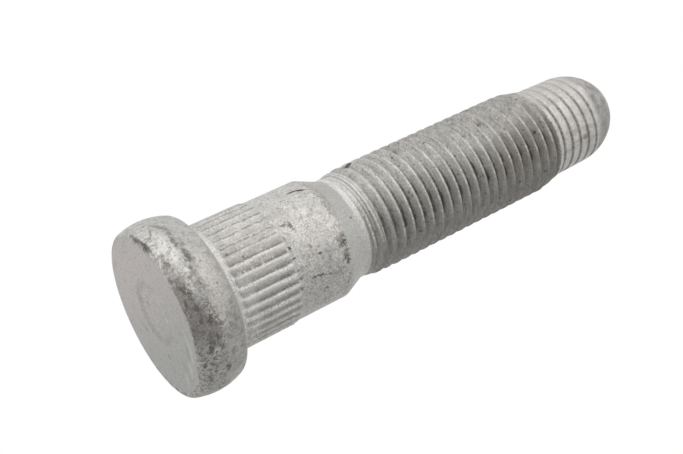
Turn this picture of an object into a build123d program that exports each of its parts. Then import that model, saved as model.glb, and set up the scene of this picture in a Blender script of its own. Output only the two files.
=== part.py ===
"""Press-in wheel stud: one piece of steel, forged, serrated and thread-rolled.

The stud stands on its head. +Z runs along its axis from the head to the nose, and the origin is the
centre of the head's outer face. All sizes are millimetres.
"""

import math
import os

from build123d import *

# Head: a thick disc with a barrel-shaped rim
HEAD_DIAMETER = 21.3
HEAD_THICKNESS = 6.35
RIM_CREST_HEIGHT = 2.9
RIM_BARREL_RADIUS = 7.5
FACE_EDGE_RADIUS = 0.6
REAR_EDGE_RADIUS = 1.2

# Shank: the plain diameter that carries the serrations and ends in the shoulder
SHANK_DIAMETER = 15.4
HEAD_FILLET_RADIUS = 0.7
COLLAR_LENGTH = 1.05
SHOULDER_LENGTH = 7.1
SHOULDER_EDGE_RADIUS = 0.35
SHOULDER_CHAMFER_ANGLE = 23.0

# Serrations: straight rolled ridges that bite into the hub's hole
SERRATION_DIAMETER = 15.8
SERRATION_LENGTH = 7.85
SERRATION_LEAD = 0.45
SERRATION_COUNT = 38
SERRATION_DEPTH = 0.4
SERRATION_GROOVE_RADIUS = 0.55
SERRATION_GROOVE_INSET = 0.15

# Neck: the narrow place between the shoulder and the thread
NECK_DIAMETER = 13.04
NECK_LENGTH = 1.05
NECK_FILLET_RADIUS = 1.0

# Thread: its major diameter, with a run-out at the neck and a taper at the pilot
THREAD_DIAMETER = 14.0
THREAD_LENGTH = 27.05
RUNOUT_LENGTH = 2.2
TAPER_LENGTH = 3.6

# Pilot: the plain lead that guides the nut, with a domed nose
PILOT_DIAMETER = 12.45
PILOT_END_DIAMETER = 12.25
PILOT_LENGTH = 5.2
NOSE_FLANK_RADIUS = 7.6
NOSE_FLANK_ANGLE = 39.0

# Stations along the axis, counted from the head's outer face
COLLAR_START = HEAD_THICKNESS
SERRATION_START = COLLAR_START + COLLAR_LENGTH
SERRATION_END = SERRATION_START + SERRATION_LENGTH
SHOULDER_END = SERRATION_END + SHOULDER_LENGTH
CHAMFER_DROP = (SHANK_DIAMETER - NECK_DIAMETER) / 2
NECK_START = SHOULDER_END + CHAMFER_DROP / math.tan(math.radians(SHOULDER_CHAMFER_ANGLE))
RUNOUT_START = NECK_START + NECK_LENGTH
THREAD_START = RUNOUT_START + RUNOUT_LENGTH
THREAD_END = THREAD_START + THREAD_LENGTH
PILOT_START = THREAD_END + TAPER_LENGTH
NOSE_START = PILOT_START + PILOT_LENGTH


def rim_radius(height):
    """Radius of the barrel-shaped rim at a height above the head's face, before its edges are rounded."""
    offset = height - RIM_CREST_HEIGHT
    sag = RIM_BARREL_RADIUS - math.sqrt(RIM_BARREL_RADIUS**2 - offset**2)
    return HEAD_DIAMETER / 2 - sag


def round_corner(section, radius, corner):
    """Round the corner of a half section that lies at (r, z)."""
    vertex = section.vertices().sort_by_distance((corner[0], 0, corner[1]))[0]
    return fillet(vertex, radius)


def nose_arcs(start):
    """Two tangent arcs that close the pilot from (r, z) to its tip on the axis."""
    turn = math.radians(NOSE_FLANK_ANGLE)
    join_radius = start[0] - NOSE_FLANK_RADIUS * (1 - math.cos(turn))
    join_height = start[1] + NOSE_FLANK_RADIUS * math.sin(turn)
    tip_height = join_height + join_radius * (1 - math.sin(turn)) / math.cos(turn)
    flank = TangentArc(start, (join_radius, join_height), tangent=(0, 1))
    return [flank, TangentArc(flank @ 1, (0, tip_height), tangent=flank % 1)]


def half_section():
    """Half section of the plain stud, from the head's face to the tip of the nose."""
    face_corner = (rim_radius(0), 0)
    rear_corner = (rim_radius(HEAD_THICKNESS), HEAD_THICKNESS)
    collar_corner = (SHANK_DIAMETER / 2, COLLAR_START)
    shoulder_corner = (SHANK_DIAMETER / 2, SHOULDER_END)
    neck_corner = (NECK_DIAMETER / 2, NECK_START)
    runout_corner = (NECK_DIAMETER / 2, RUNOUT_START)
    nose_corner = (PILOT_END_DIAMETER / 2, NOSE_START)
    nose = nose_arcs(nose_corner)
    rim = ThreePointArc(face_corner, (HEAD_DIAMETER / 2, RIM_CREST_HEIGHT), rear_corner)
    side = Polyline(
        rear_corner,
        collar_corner,
        shoulder_corner,
        neck_corner,
        runout_corner,
        (THREAD_DIAMETER / 2, THREAD_START),
        (THREAD_DIAMETER / 2, THREAD_END),
        (PILOT_DIAMETER / 2, PILOT_START),
        nose_corner,
    )
    axis = Polyline(nose[-1] @ 1, (0, 0), face_corner)
    section = Plane.XZ * make_face([rim, *side.edges(), *nose, *axis.edges()])
    section = round_corner(section, FACE_EDGE_RADIUS, face_corner)
    widest_rounding = (rear_corner[0] - collar_corner[0]) / 2
    section = round_corner(section, min(REAR_EDGE_RADIUS, widest_rounding), rear_corner)
    section = round_corner(section, min(HEAD_FILLET_RADIUS, widest_rounding), collar_corner)
    section = round_corner(section, SHOULDER_EDGE_RADIUS, shoulder_corner)
    section = round_corner(section, NECK_FILLET_RADIUS, neck_corner)
    return section


def serration_band():
    """Raised ring that the serrations are rolled into, run down to the shank at both ends."""
    low = (SHANK_DIAMETER / 2, SERRATION_START)
    high = (SHANK_DIAMETER / 2, SERRATION_END)
    outline = Polyline(
        (0, SERRATION_START),
        low,
        (SERRATION_DIAMETER / 2, SERRATION_START + SERRATION_LEAD),
        (SERRATION_DIAMETER / 2, SERRATION_END - SERRATION_LEAD),
        high,
        (0, SERRATION_END),
        close=True,
    )
    return revolve(Plane.XZ * make_face(outline), Axis.Z)


def serration_grooves():
    """Round-bottomed grooves, spread evenly round the band and stopped just inside its ends."""
    axis_radius = SERRATION_DIAMETER / 2 - SERRATION_DEPTH + SERRATION_GROOVE_RADIUS
    groove = Cylinder(SERRATION_GROOVE_RADIUS, SERRATION_LENGTH - 2 * SERRATION_GROOVE_INSET)
    middle = Pos(Z=(SERRATION_START + SERRATION_END) / 2)
    half_pitch = 180 / SERRATION_COUNT
    ring = PolarLocations(axis_radius, SERRATION_COUNT, start_angle=half_pitch)
    return [middle * place * groove for place in ring]


def wheel_stud():
    """The whole stud as one solid."""
    stud = revolve(half_section(), Axis.Z) + serration_band()
    stud -= serration_grooves()
    return stud.solid()


os.makedirs("parts", exist_ok=True)
export_step(wheel_stud(), "parts/wheel_stud.step")
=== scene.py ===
"""Looks of a press-in wheel stud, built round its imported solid.

The stud stands on its head. +Z runs along its axis from the head to the nose, and the origin is the
centre of the head's outer face. Sizes of the stud and of the camera are in millimetres. The meshes, the
floor and the lamps are in metres.
"""

import logging
import math
from dataclasses import dataclass, field
from enum import Enum

import bmesh
import bpy
from mathutils import Matrix, Vector


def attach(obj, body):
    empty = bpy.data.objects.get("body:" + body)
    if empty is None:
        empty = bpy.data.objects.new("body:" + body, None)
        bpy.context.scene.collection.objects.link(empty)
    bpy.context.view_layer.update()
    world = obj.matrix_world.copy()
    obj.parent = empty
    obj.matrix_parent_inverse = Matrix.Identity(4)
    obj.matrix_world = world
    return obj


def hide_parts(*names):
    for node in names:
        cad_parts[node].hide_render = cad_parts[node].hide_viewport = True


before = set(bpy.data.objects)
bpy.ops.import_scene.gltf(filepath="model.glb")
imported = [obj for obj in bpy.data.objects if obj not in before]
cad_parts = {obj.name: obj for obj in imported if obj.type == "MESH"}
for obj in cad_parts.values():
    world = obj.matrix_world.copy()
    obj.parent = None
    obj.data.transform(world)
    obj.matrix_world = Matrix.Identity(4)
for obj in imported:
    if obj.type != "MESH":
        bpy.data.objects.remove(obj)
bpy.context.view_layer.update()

MM = 0.001
NODE = "wheel_stud"
# Turn about +Z of the side that faces the camera
NEAR_TURN = math.radians(-86.6)
# Names of the group sockets that carry vectors; all others carry numbers
VECTOR_NAMES = {"Place", "Pull", "Centre", "Reach", "Millimetres", "Unrolled"}

SectionPoint = tuple[float, float]
Colour = tuple[float, float, float, float]
Names = tuple[str, ...]

WHITE: Colour = (1.0, 1.0, 1.0, 1.0)

log = logging.getLogger("wheel_stud")


def colour(red: float, green: float, blue: float) -> Colour:
    """Turn a colour as seen on screen, 0 to 255, into the linear colour that a shader takes."""

    def linear(channel: float) -> float:
        """Linear value of one screen channel."""
        share = channel / 255.0
        return share / 12.92 if share <= 0.04045 else ((share + 0.055) / 1.055) ** 2.4

    return (linear(red), linear(green), linear(blue), 1.0)


def arc(centre: SectionPoint, radius: float, start: float, end: float, steps: int) -> list[SectionPoint]:
    """Points on an arc of the half section.

    Args:
        centre: Centre of the arc as (r, z).
        radius: Radius of the arc.
        start: Angle of the first point in degrees, from the outward direction towards +Z.
        end: Angle of the last point in degrees.
        steps: Number of equal steps between them.

    Returns:
        The points as (r, z), both ends included.
    """
    points = []
    for step in range(steps + 1):
        angle = math.radians(start + (end - start) * step / steps)
        points.append((centre[0] + radius * math.cos(angle), centre[1] + radius * math.sin(angle)))
    return points


def line(start: SectionPoint, end: SectionPoint, steps: int) -> list[SectionPoint]:
    """Points on a straight stretch of the half section, both ends included."""
    shares = [step / steps for step in range(steps + 1)]
    return [(start[0] + (end[0] - start[0]) * s, start[1] + (end[1] - start[1]) * s) for s in shares]


class Field:
    """A value that a node puts out. Arithmetic on it adds Math nodes to its sheet."""

    def __init__(self, sheet: "NodeSheet", socket: bpy.types.NodeSocket) -> None:
        """Keep the sheet and the output socket."""
        self.sheet = sheet
        self.socket = socket

    def __add__(self, other: object) -> "Field":
        """Sum."""
        return self.math("ADD", other)

    def __sub__(self, other: object) -> "Field":
        """Difference."""
        return self.math("SUBTRACT", other)

    def __rsub__(self, other: object) -> "Field":
        """Difference from a plain number."""
        return self.sheet.math("SUBTRACT", other, self)

    def __mul__(self, other: object) -> "Field":
        """Product."""
        return self.math("MULTIPLY", other)

    def __truediv__(self, other: object) -> "Field":
        """Quotient."""
        return self.math("DIVIDE", other)

    def __rtruediv__(self, other: object) -> "Field":
        """A plain number divided by the value."""
        return self.sheet.math("DIVIDE", other, self)

    def math(self, operation: str, *others: object) -> "Field":
        """Result of a Math node whose first input is the value."""
        return self.sheet.math(operation, self, *others)

    def clamped(self) -> "Field":
        """The value itself, held between 0 and 1 by its Math node."""
        self.socket.node.use_clamp = True
        return self

    def span(self, low: object, high: object, start: object = 0.0, end: object = 1.0) -> "Field":
        """Smooth step that goes from start at low to end at high."""
        return self.sheet.remap(self, (low, high, start, end), interpolation_type="SMOOTHSTEP")

    def fade(self, low: object, high: object) -> "Field":
        """Smooth step that goes from 1 at low to 0 at high."""
        return self.span(low, high, 1.0, 0.0)

    def ramp(self, low: object, high: object, start: object = 0.0, end: object = 1.0) -> "Field":
        """Straight ramp that goes from start at low to end at high, and stays level outside."""
        return self.sheet.remap(self, (low, high, start, end), clamp=True)


class NodeSheet:
    """A node tree with short calls for adding nodes and joining them."""

    def __init__(self, tree: bpy.types.NodeTree) -> None:
        """Keep the tree that the calls add to."""
        self.tree = tree

    def feed(self, socket: bpy.types.NodeSocket, value: object) -> None:
        """Link a field to an input socket, or set the socket's plain value."""
        if isinstance(value, Field):
            self.tree.links.new(value.socket, socket)
        else:
            socket.default_value = value

    def node(self, kind: str, inputs: dict | None = None, **settings: object) -> bpy.types.Node:
        """Add a node.

        Args:
            kind: Blender's name for the node type.
            inputs: Values or fields by input name or number.
            settings: Properties of the node, set before its inputs.

        Returns:
            The new node.
        """
        made = self.tree.nodes.new(kind)
        for name, value in settings.items():
            setattr(made, name, value)
        for key, value in (inputs or {}).items():
            self.feed(made.inputs[key], value)
        return made

    def out(self, kind: str, inputs: dict | None = None, output: int | str = 0, **settings: object) -> Field:
        """Add a node and return one of its outputs, by number or name."""
        return Field(self, self.node(kind, inputs, **settings).outputs[output])

    def outs(self, kind: str, inputs: dict | None = None, **settings: object) -> dict[str, Field]:
        """Add a node and return all its outputs by name."""
        made = self.node(kind, inputs, **settings)
        return {socket.name: Field(self, socket) for socket in made.outputs}

    def math(self, operation: str, *values: object) -> Field:
        """Add a Math node and return its result."""
        return self.out("ShaderNodeMath", dict(enumerate(values)), operation=operation)

    def vector(self, operation: str, *values: object) -> Field:
        """Add a Vector Math node and return its vector."""
        return self.out("ShaderNodeVectorMath", dict(enumerate(values)), operation=operation)

    def scaled(self, vector: object, scale: object) -> Field:
        """Vector or colour times a number."""
        return self.out("ShaderNodeVectorMath", {0: vector, "Scale": scale}, operation="SCALE")

    def length(self, vector: object) -> Field:
        """Length of a vector."""
        return self.out("ShaderNodeVectorMath", {0: vector}, "Value", operation="LENGTH")

    def apart(self, first: object, second: object) -> Field:
        """Distance between two places."""
        return self.length(self.vector("SUBTRACT", first, second))

    def combine(self, x: object = 0.0, y: object = 0.0, z: object = 0.0) -> Field:
        """Vector of three numbers."""
        return self.out("ShaderNodeCombineXYZ", {0: x, 1: y, 2: z})

    def spin(self, vector: object, angle: object) -> Field:
        """Vector turned about +Z."""
        inputs = {"Vector": vector, "Angle": angle}
        return self.out("ShaderNodeVectorRotate", inputs, rotation_type="Z_AXIS")

    def remap(self, value: Field, limits: tuple, **kind: object) -> Field:
        """Add a Map Range node, given low, high, start and end, and return its result."""
        names = ("From Min", "From Max", "To Min", "To Max")
        return self.out("ShaderNodeMapRange", {"Value": value, **dict(zip(names, limits))}, **kind)

    def noise(self, place: object, scale: object, detail: float, roughness: float) -> Field:
        """Noise value from 0 to 1 at a place."""
        inputs = {"Vector": place, "Scale": scale, "Detail": detail, "Roughness": roughness}
        return self.out("ShaderNodeTexNoise", inputs)

    def mix(self, share: object, first: object, second: object) -> Field:
        """Mix two numbers by a share from 0 to 1."""
        return self.out("ShaderNodeMix", {0: share, 2: first, 3: second})

    def blend(self, share: object, first: object, second: object) -> Field:
        """Mix two colours by a share from 0 to 1."""
        return self.out("ShaderNodeMix", {0: share, 6: first, 7: second}, 2, data_type="RGBA")

    def close(self, results: dict[str, object]) -> bpy.types.NodeTree:
        """End a group with its results and return its tree."""
        self.node("NodeGroupOutput", results)
        return self.tree


class Stretch(Enum):
    """Stretches of the stud that have a finish of their own."""

    HEAD = "Head Finish"
    SHANK = "Shank Finish"
    THREAD = "Thread Finish"


@dataclass(frozen=True)
class Ring:
    """One ring of points round the axis."""

    radius: float
    height: float
    columns: int


@dataclass
class LatheMesh:
    """Collects rings of points round +Z and joins each one to the next."""

    points: list[tuple[float, float, float]] = field(default_factory=list)
    faces: list[tuple[int, ...]] = field(default_factory=list)
    last: list[int] = field(default_factory=list)

    def point(self, radius: float, height: float, turn: float) -> int:
        """Add a point, given in millimetres and in radians from the far side, and return its number."""
        angle = NEAR_TURN + math.pi + turn
        self.points.append((radius * math.cos(angle) * MM, radius * math.sin(angle) * MM, height * MM))
        return len(self.points) - 1

    def ring(self, ring: Ring) -> None:
        """Add a ring and join it to the one before."""
        count = ring.columns
        made = [self.point(ring.radius, ring.height, math.tau * step / count) for step in range(count)]
        if self.last:
            self.join(self.last, made)
        self.last = made

    def join(self, low: list[int], high: list[int]) -> None:
        """Fill between two rings whose counts are equal, differ by a factor of two, or end in a pole."""
        count = min(len(low), len(high))
        for step in range(max(len(low), len(high)) if count == 1 else count):
            ahead = step + 1
            after = ahead % count
            if len(low) == 1:
                self.faces.append((low[0], high[ahead % len(high)], high[step]))
            elif len(high) == 1:
                self.faces.append((low[step], low[ahead % len(low)], high[0]))
            elif len(low) == len(high):
                self.faces.append((low[step], low[after], high[after], high[step]))
            elif len(low) > len(high):
                first, middle, third = (low[(2 * step + k) % len(low)] for k in range(3))
                self.faces.append((first, middle, high[step]))
                self.faces.append((middle, high[after], high[step]))
                self.faces.append((middle, third, high[after]))
            else:
                first, middle, third = (high[(2 * step + k) % len(high)] for k in range(3))
                self.faces.append((low[step], middle, first))
                self.faces.append((low[step], low[after], middle))
                self.faces.append((low[after], third, middle))

    def sheet(self, rows: list[list[int]]) -> None:
        """Fill between rows of points that are left open at the seam."""
        for low, high in zip(rows[:-1], rows[1:]):
            for step in range(len(low) - 1):
                self.faces.append((low[step], low[step + 1], high[step + 1], high[step]))

    def mesh(self, name: str) -> bpy.types.Mesh:
        """Make one closed mesh of all that was collected, with its doubles merged."""
        made = bpy.data.meshes.new(name)
        made.from_pydata(self.points, [], self.faces)
        work = bmesh.new()
        work.from_mesh(made)
        bmesh.ops.remove_doubles(work, verts=work.verts, dist=1e-7)
        bmesh.ops.dissolve_degenerate(work, edges=work.edges, dist=1e-8)
        work.to_mesh(made)
        work.free()
        return made


@dataclass(frozen=True)
class Head:
    """Round head: a flat outer face, a barrel-shaped rim and a ledge behind it."""

    diameter: float = 21.3
    thickness: float = 6.35
    crest_height: float = 2.9
    barrel_radius: float = 7.5
    face_edge: float = 0.6
    rear_edge: float = 1.0547
    mark_radius: float = 3.7
    mark_depth: float = 0.15
    mark_turn: float = -27.0
    mark_offset: float = 0.9
    columns: int = 304

    def edge_centre(self, rounding: float, height: float) -> SectionPoint:
        """Centre of an edge rounding that touches the rim from inside at a given height."""
        rise = height - self.crest_height
        reach = math.sqrt((self.barrel_radius - rounding) ** 2 - rise**2)
        return (self.diameter / 2 - self.barrel_radius + reach, height)

    def lean(self, centre: SectionPoint) -> float:
        """Angle in degrees at which the rim's arc meets an edge rounding."""
        out = centre[0] - (self.diameter / 2 - self.barrel_radius)
        return math.degrees(math.atan2(centre[1] - self.crest_height, out))

    def face_rings(self) -> list[Ring]:
        """Rings of the flat face, close together where the round mark is pressed in."""
        edge = self.edge_centre(self.face_edge, self.face_edge)[0]
        near_mark = [2.6 + 0.25 * step for step in range(12)]
        bands = ((8, (0.5, 1.0)), (4, (1.5, 1.9, 2.3)), (2, (*near_mark, 5.9)))
        bands += ((1, (6.8, 7.6, 8.3, 8.9, 9.3, edge)),)
        return [Ring(r, 0.0, self.columns // share) for share, radii in bands for r in radii]

    def rings(self) -> list[Ring]:
        """Rings from the face's middle to the inner edge of the ledge."""
        front = self.edge_centre(self.face_edge, self.face_edge)
        rear = self.edge_centre(self.rear_edge, self.thickness - self.rear_edge)
        rim_centre = (self.diameter / 2 - self.barrel_radius, self.crest_height)
        section = arc(front, self.face_edge, -90.0, self.lean(front), 6)[1:]
        section += arc(rim_centre, self.barrel_radius, self.lean(front), self.lean(rear), 24)[1:]
        section += arc(rear, self.rear_edge, self.lean(rear), 90.0, 8)[1:]
        return self.face_rings() + [Ring(r, z, self.columns) for r, z in section]


@dataclass(frozen=True)
class Shank:
    """Serrated shank: a collar, a band of straight ridges, a plain shoulder, a chamfer and a neck."""

    radius: float = 7.7
    collar_start: float = 6.35
    fillet: float = 0.7
    ridge_radius: float = 7.9
    ridge_start: float = 7.40
    ridge_end: float = 15.25
    ridge_lead: float = 0.45
    ridge_count: int = 38
    ridge_depth: float = 0.4
    shoulder_end: float = 22.35
    shoulder_edge: float = 0.35
    chamfer_angle: float = 23.0
    neck_radius: float = 6.52
    neck_fillet: float = 1.0
    neck_start: float = 25.13
    columns: int = 304

    def section(self) -> list[SectionPoint]:
        """Half section from the fillet under the head to the neck."""
        slope = math.radians(self.chamfer_angle)
        edge_start = self.shoulder_end - self.shoulder_edge * math.tan(slope / 2)
        edge_centre = (self.radius - self.shoulder_edge, edge_start)
        neck_reach = self.neck_fillet * math.tan(slope / 2)
        neck_centre = (self.neck_radius + self.neck_fillet, self.neck_start + neck_reach)
        corner = (self.radius + self.fillet, self.collar_start + self.fillet)
        points = arc(corner, self.fillet, 270.0, 180.0, 6)
        stations = (
            (self.radius, self.ridge_start, 2),
            (self.ridge_radius, self.ridge_start + self.ridge_lead, 4),
            (self.ridge_radius, self.ridge_end - self.ridge_lead, 18),
            (self.radius, self.ridge_end, 5),
            (self.radius, edge_start, 28),
        )
        for radius, height, steps in stations:
            points += line(points[-1], (radius, height), steps)[1:]
        points += arc(edge_centre, self.shoulder_edge, 0.0, self.chamfer_angle, 3)[1:]
        bend = arc(neck_centre, self.neck_fillet, 180.0 + self.chamfer_angle, 180.0, 4)
        return points + line(points[-1], bend[0], 8)[1:] + bend[1:]

    def rings(self) -> list[Ring]:
        """Rings from the fillet under the head to the neck."""
        return [Ring(r, z, self.columns) for r, z in self.section()]


@dataclass(frozen=True)
class Thread:
    """Right-hand thread with a run-out at the neck, a taper at the pilot, and a domed nose."""

    radius: float = 7.0
    pitch: float = 1.5
    root_radius: float = 6.08
    root_flat: float = 0.25
    # Height of one groove's bottom on the side that faces the camera
    root_height: float = 31.43
    neck_radius: float = 6.52
    runout_start: float = 26.18
    start: float = 28.38
    end: float = 55.43
    pilot_start: float = 59.03
    pilot_radius: float = 6.225
    pilot_end_radius: float = 6.125
    nose_start: float = 64.23
    nose_flank: float = 7.6
    nose_turn: float = 39.0
    zone_start: float = 25.85
    zone_end: float = 66.0
    columns: int = 152
    # Radius down to which the nose's rings have all, half or a quarter of the columns
    nose_shares: tuple[tuple[float, int], ...] = ((3.0, 1), (1.4, 2), (0.2, 4))
    # Rows of points along one pitch, counted from the bottom of a groove
    rows: tuple[float, ...] = (-0.68, -0.6, -0.4, -0.2, -0.11, 0.0, 0.11, 0.2, 0.4, 0.6, 0.68, 0.75)

    def nose(self) -> list[SectionPoint]:
        """The two tangent arcs of the nose, from the pilot to the tip."""
        turn = math.radians(self.nose_turn)
        join_radius = self.pilot_end_radius - self.nose_flank * (1 - math.cos(turn))
        tip_radius = join_radius / math.cos(turn)
        flank_centre = (self.pilot_end_radius - self.nose_flank, self.nose_start)
        join_height = self.nose_start + self.nose_flank * math.sin(turn)
        tip_centre = (0.0, join_height - tip_radius * math.sin(turn))
        flank = arc(flank_centre, self.nose_flank, 0.0, self.nose_turn, 40)
        return flank + arc(tip_centre, tip_radius, self.nose_turn, 90.0, 24)[1:]

    def section(self) -> list[SectionPoint]:
        """Half section of the blank from the neck to the tip, before the thread is rolled."""
        return [
            (self.neck_radius, self.zone_start - 1.0),
            (self.neck_radius, self.runout_start),
            (self.radius, self.start),
            (self.radius, self.end),
            (self.pilot_radius, self.pilot_start),
            *self.nose(),
        ]

    def blank_radius(self, height: float) -> float:
        """Radius of the blank at a height between the neck and the tip."""
        points = self.section()
        for low, high in zip(points[:-1], points[1:]):
            if low[1] <= height <= high[1]:
                share = (height - low[1]) / (high[1] - low[1])
                return low[0] + (high[0] - low[0]) * share
        return points[-1][0]

    def heights(self, turn_step: int) -> list[float]:
        """Heights of the helical rows at one step of the turn, stopped at the zone's ends."""
        climb = self.pitch * (turn_step / self.columns - 0.5)
        first = math.floor((self.zone_start - self.root_height) / self.pitch) - 2
        last = math.ceil((self.zone_end - self.root_height) / self.pitch) + 2
        free = [
            self.root_height + climb + self.pitch * lap + offset
            for lap in range(first, last + 1)
            for offset in self.rows
        ]
        return [min(max(height, self.zone_start), self.zone_end) for height in free]

    def add_rows(self, lathe: LatheMesh) -> None:
        """Add the stretch whose rows of points climb with the thread."""
        table = {}
        columns = []
        for step in range(self.columns + 1):
            turn = math.tau * step / self.columns
            column = []
            for height in self.heights(step):
                key = round(height, 6)
                if key not in table:
                    table[key] = self.blank_radius(key)
                column.append(lathe.point(table[key], key, turn))
            columns.append(column)
        lathe.sheet([list(row) for row in zip(*columns)])

    def nose_rings(self) -> list[Ring]:
        """Rings from the end of the helical rows to just short of the tip."""
        points = [(self.blank_radius(self.zone_end), self.zone_end)]
        points += [point for point in self.nose() if point[1] > self.zone_end + 0.1][1::3]
        rings = []
        for radius, height in points:
            shares = [share for least, share in self.nose_shares if radius > least]
            if shares:
                rings.append(Ring(radius, height, self.columns // shares[0]))
        return rings


class RollingTree:
    """Geometry Nodes tree that rolls the serrations and the thread into a turned blank."""

    NAME = "rolled_forms"
    # Height from which each finish goes on, in the order in which they are laid
    STARTS = {Stretch.HEAD: -1.0, Stretch.SHANK: 6.36, Stretch.THREAD: 25.0}
    # Heights between which the groove's bottom goes down from the neck to the thread's root
    RUNOUT = (26.2, 28.1)
    # Height below which the bottom follows the run-out alone, and its least radius above that
    RUNOUT_TOP = 30.0
    LEAST_RADIUS = 5.0
    # Heights between which the lip along the crests dies out
    LIP_END = (28.6, 31.6)
    # Scale, detail and roughness of the noise in the ridges' sway, the nicks and the coating
    SWAY_NOISE = (0.35, 2.0, 0.5)
    NICK_NOISE = (1.1, 2.0, 0.6)
    COATING_NOISE = (0.9, 3.0, 0.55)

    def __init__(self) -> None:
        """Build the tree with named inputs for its sizes."""
        self.tree = bpy.data.node_groups.new(self.NAME, "GeometryNodeTree")
        self.sheet = NodeSheet(self.tree)
        self.keys: dict[str, str] = {}
        self.add_input("Geometry", "NodeSocketGeometry")
        for name in self.sizes(Head(), Shank(), Thread()):
            self.add_input(name, "NodeSocketFloat")
        for stretch in Stretch:
            self.add_input(stretch.value, "NodeSocketMaterial")
        self.tree.interface.new_socket("Geometry", in_out="OUTPUT", socket_type="NodeSocketGeometry")
        self.ask = self.sheet.outs("NodeGroupInput")
        self.wire()

    @staticmethod
    def sizes(head: Head, shank: Shank, thread: Thread) -> dict[str, float]:
        """Named sizes that the tree takes, in millimetres and radians."""
        return {
            "Mark Turn": NEAR_TURN + math.radians(head.mark_turn),
            "Mark Offset": head.mark_offset,
            "Mark Radius": head.mark_radius,
            "Mark Depth": head.mark_depth,
            "Ridge Count": float(shank.ridge_count),
            "Ridge Depth": shank.ridge_depth,
            "Ridge Start": shank.ridge_start,
            "Ridge End": shank.ridge_end,
            "Ridge Waver": 0.035,
            "Groove Turn": math.pi / shank.ridge_count,
            "Smear Turn": NEAR_TURN - math.radians(68.0),
            "Smear": 0.58,
            "Pitch": thread.pitch,
            "Root Radius": thread.root_radius,
            "Root Flat": thread.root_flat,
            "Root Height": thread.root_height - thread.pitch * NEAR_TURN / math.tau,
            "Neck Radius": thread.neck_radius,
            "Zone Start": thread.zone_start,
            "Zone End": thread.zone_end,
            "Least Groove": 0.07,
            "Crest Rounding": 0.08,
            "Lip Depth": 0.12,
            "Nick Depth": 0.1,
            "Unevenness": 0.035,
        }

    def add_input(self, name: str, kind: str) -> None:
        """Add a named input and keep its identifier."""
        made = self.tree.interface.new_socket(name, in_out="INPUT", socket_type=kind)
        self.keys[name] = made.identifier

    def mark_dip(self, place: Field, height: Field) -> Field:
        """Depth of the plain round mark that is pressed a little off centre into the head's face."""
        ask = self.ask
        turn, offset, radius = ask["Mark Turn"], ask["Mark Offset"], ask["Mark Radius"]
        middle = self.sheet.combine(turn.math("COSINE") * offset, turn.math("SINE") * offset)
        apart = self.sheet.apart(place, middle)
        pressed = apart.span(radius - 0.55, radius + 0.35, ask["Mark Depth"], 0.0)
        return pressed * height.math("LESS_THAN", 0.01)

    def ridge_dip(self, turn: Field, height: Field, place: Field) -> Field:
        """Share of the full groove depth between the straight ridges, 0 on a ridge."""
        ask = self.ask
        sway = self.sheet.noise(place, *self.SWAY_NOISE) - 0.5
        phase = (sway * ask["Ridge Waver"] + turn - ask["Groove Turn"]) * ask["Ridge Count"]
        dip = (phase.math("COSINE") * 0.5 + 0.5).math("POWER", 0.7)
        lead = height.span(ask["Ridge Start"] - 0.1, ask["Ridge Start"] + 0.35)
        end = sway * 1.2 + ask["Ridge End"]
        stop = height.fade(end - 0.5, end + 0.1)
        side = (turn - ask["Smear Turn"]).math("COSINE")
        full = 1.0 - side.span(0.2, 1.0) * ask["Smear"]
        return dip * full * (lead * stop)

    def thread_forms(self, turn: Field, height: Field, blank: Field) -> tuple[Field, Field, Field]:
        """Fields of the thread.

        Args:
            turn: Turn about the axis in radians.
            height: Height in millimetres.
            blank: Radius of the blank in millimetres.

        Returns:
            Radius of the groove's walls, radius of its bottom, and distance from the crest's middle.
        """
        ask = self.ask
        phase = (height - ask["Root Height"]) / ask["Pitch"] - turn / math.tau
        from_root = phase.math("PINGPONG", 0.5) * ask["Pitch"]
        from_crest = ask["Pitch"] * 0.5 - from_root
        past_flat = from_root - ask["Root Flat"] * 0.5
        wall = past_flat.math("SMOOTH_MAX", 0.0, 0.1) * math.sqrt(3.0)
        near_neck = height.ramp(*self.RUNOUT, 1.0, 0.0)
        rolled = (ask["Neck Radius"] - ask["Root Radius"]) * near_neck + ask["Root Radius"]
        shallow = blank - ask["Least Groove"]
        bottom = rolled.math("MINIMUM", shallow.math("MAXIMUM", self.LEAST_RADIUS))
        bottom = bottom + height.math("LESS_THAN", self.RUNOUT_TOP) * (rolled - bottom)
        return bottom + wall, bottom, from_crest

    def wire(self) -> None:
        """Join the whole tree, from the blank to the dressed stud."""
        sheet = self.sheet
        ask = self.ask
        place = sheet.scaled(sheet.out("GeometryNodeInputPosition"), 1 / MM)
        parts = sheet.outs("ShaderNodeSeparateXYZ", {0: place})
        turn = parts["Y"].math("ARCTAN2", parts["X"])
        height = parts["Z"]
        flat = sheet.combine(parts["X"], parts["Y"])
        blank = sheet.length(flat)

        dip = self.ridge_dip(turn, height, place)
        ridged = blank - dip * ask["Ridge Depth"]
        wall, bottom, from_crest = self.thread_forms(turn, height, blank)
        lip = from_crest.fade(0.0, 0.16) * ask["Lip Depth"] * height.fade(*self.LIP_END)
        nick = sheet.noise(place, *self.NICK_NOISE).span(0.6, 0.72) * ask["Nick Depth"]
        rolled = (blank - (lip + nick)).math("SMOOTH_MIN", wall, ask["Crest Rounding"])
        opens = height.span(ask["Zone Start"], ask["Zone Start"] + 0.6)
        inside = opens * height.fade(ask["Zone End"] - 0.7, ask["Zone End"])
        radius = ridged + inside * (rolled - ridged)

        above = (radius - bottom) / (blank - bottom)
        rise = (inside * above + (1.0 - inside) - dip).clamped()

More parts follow.
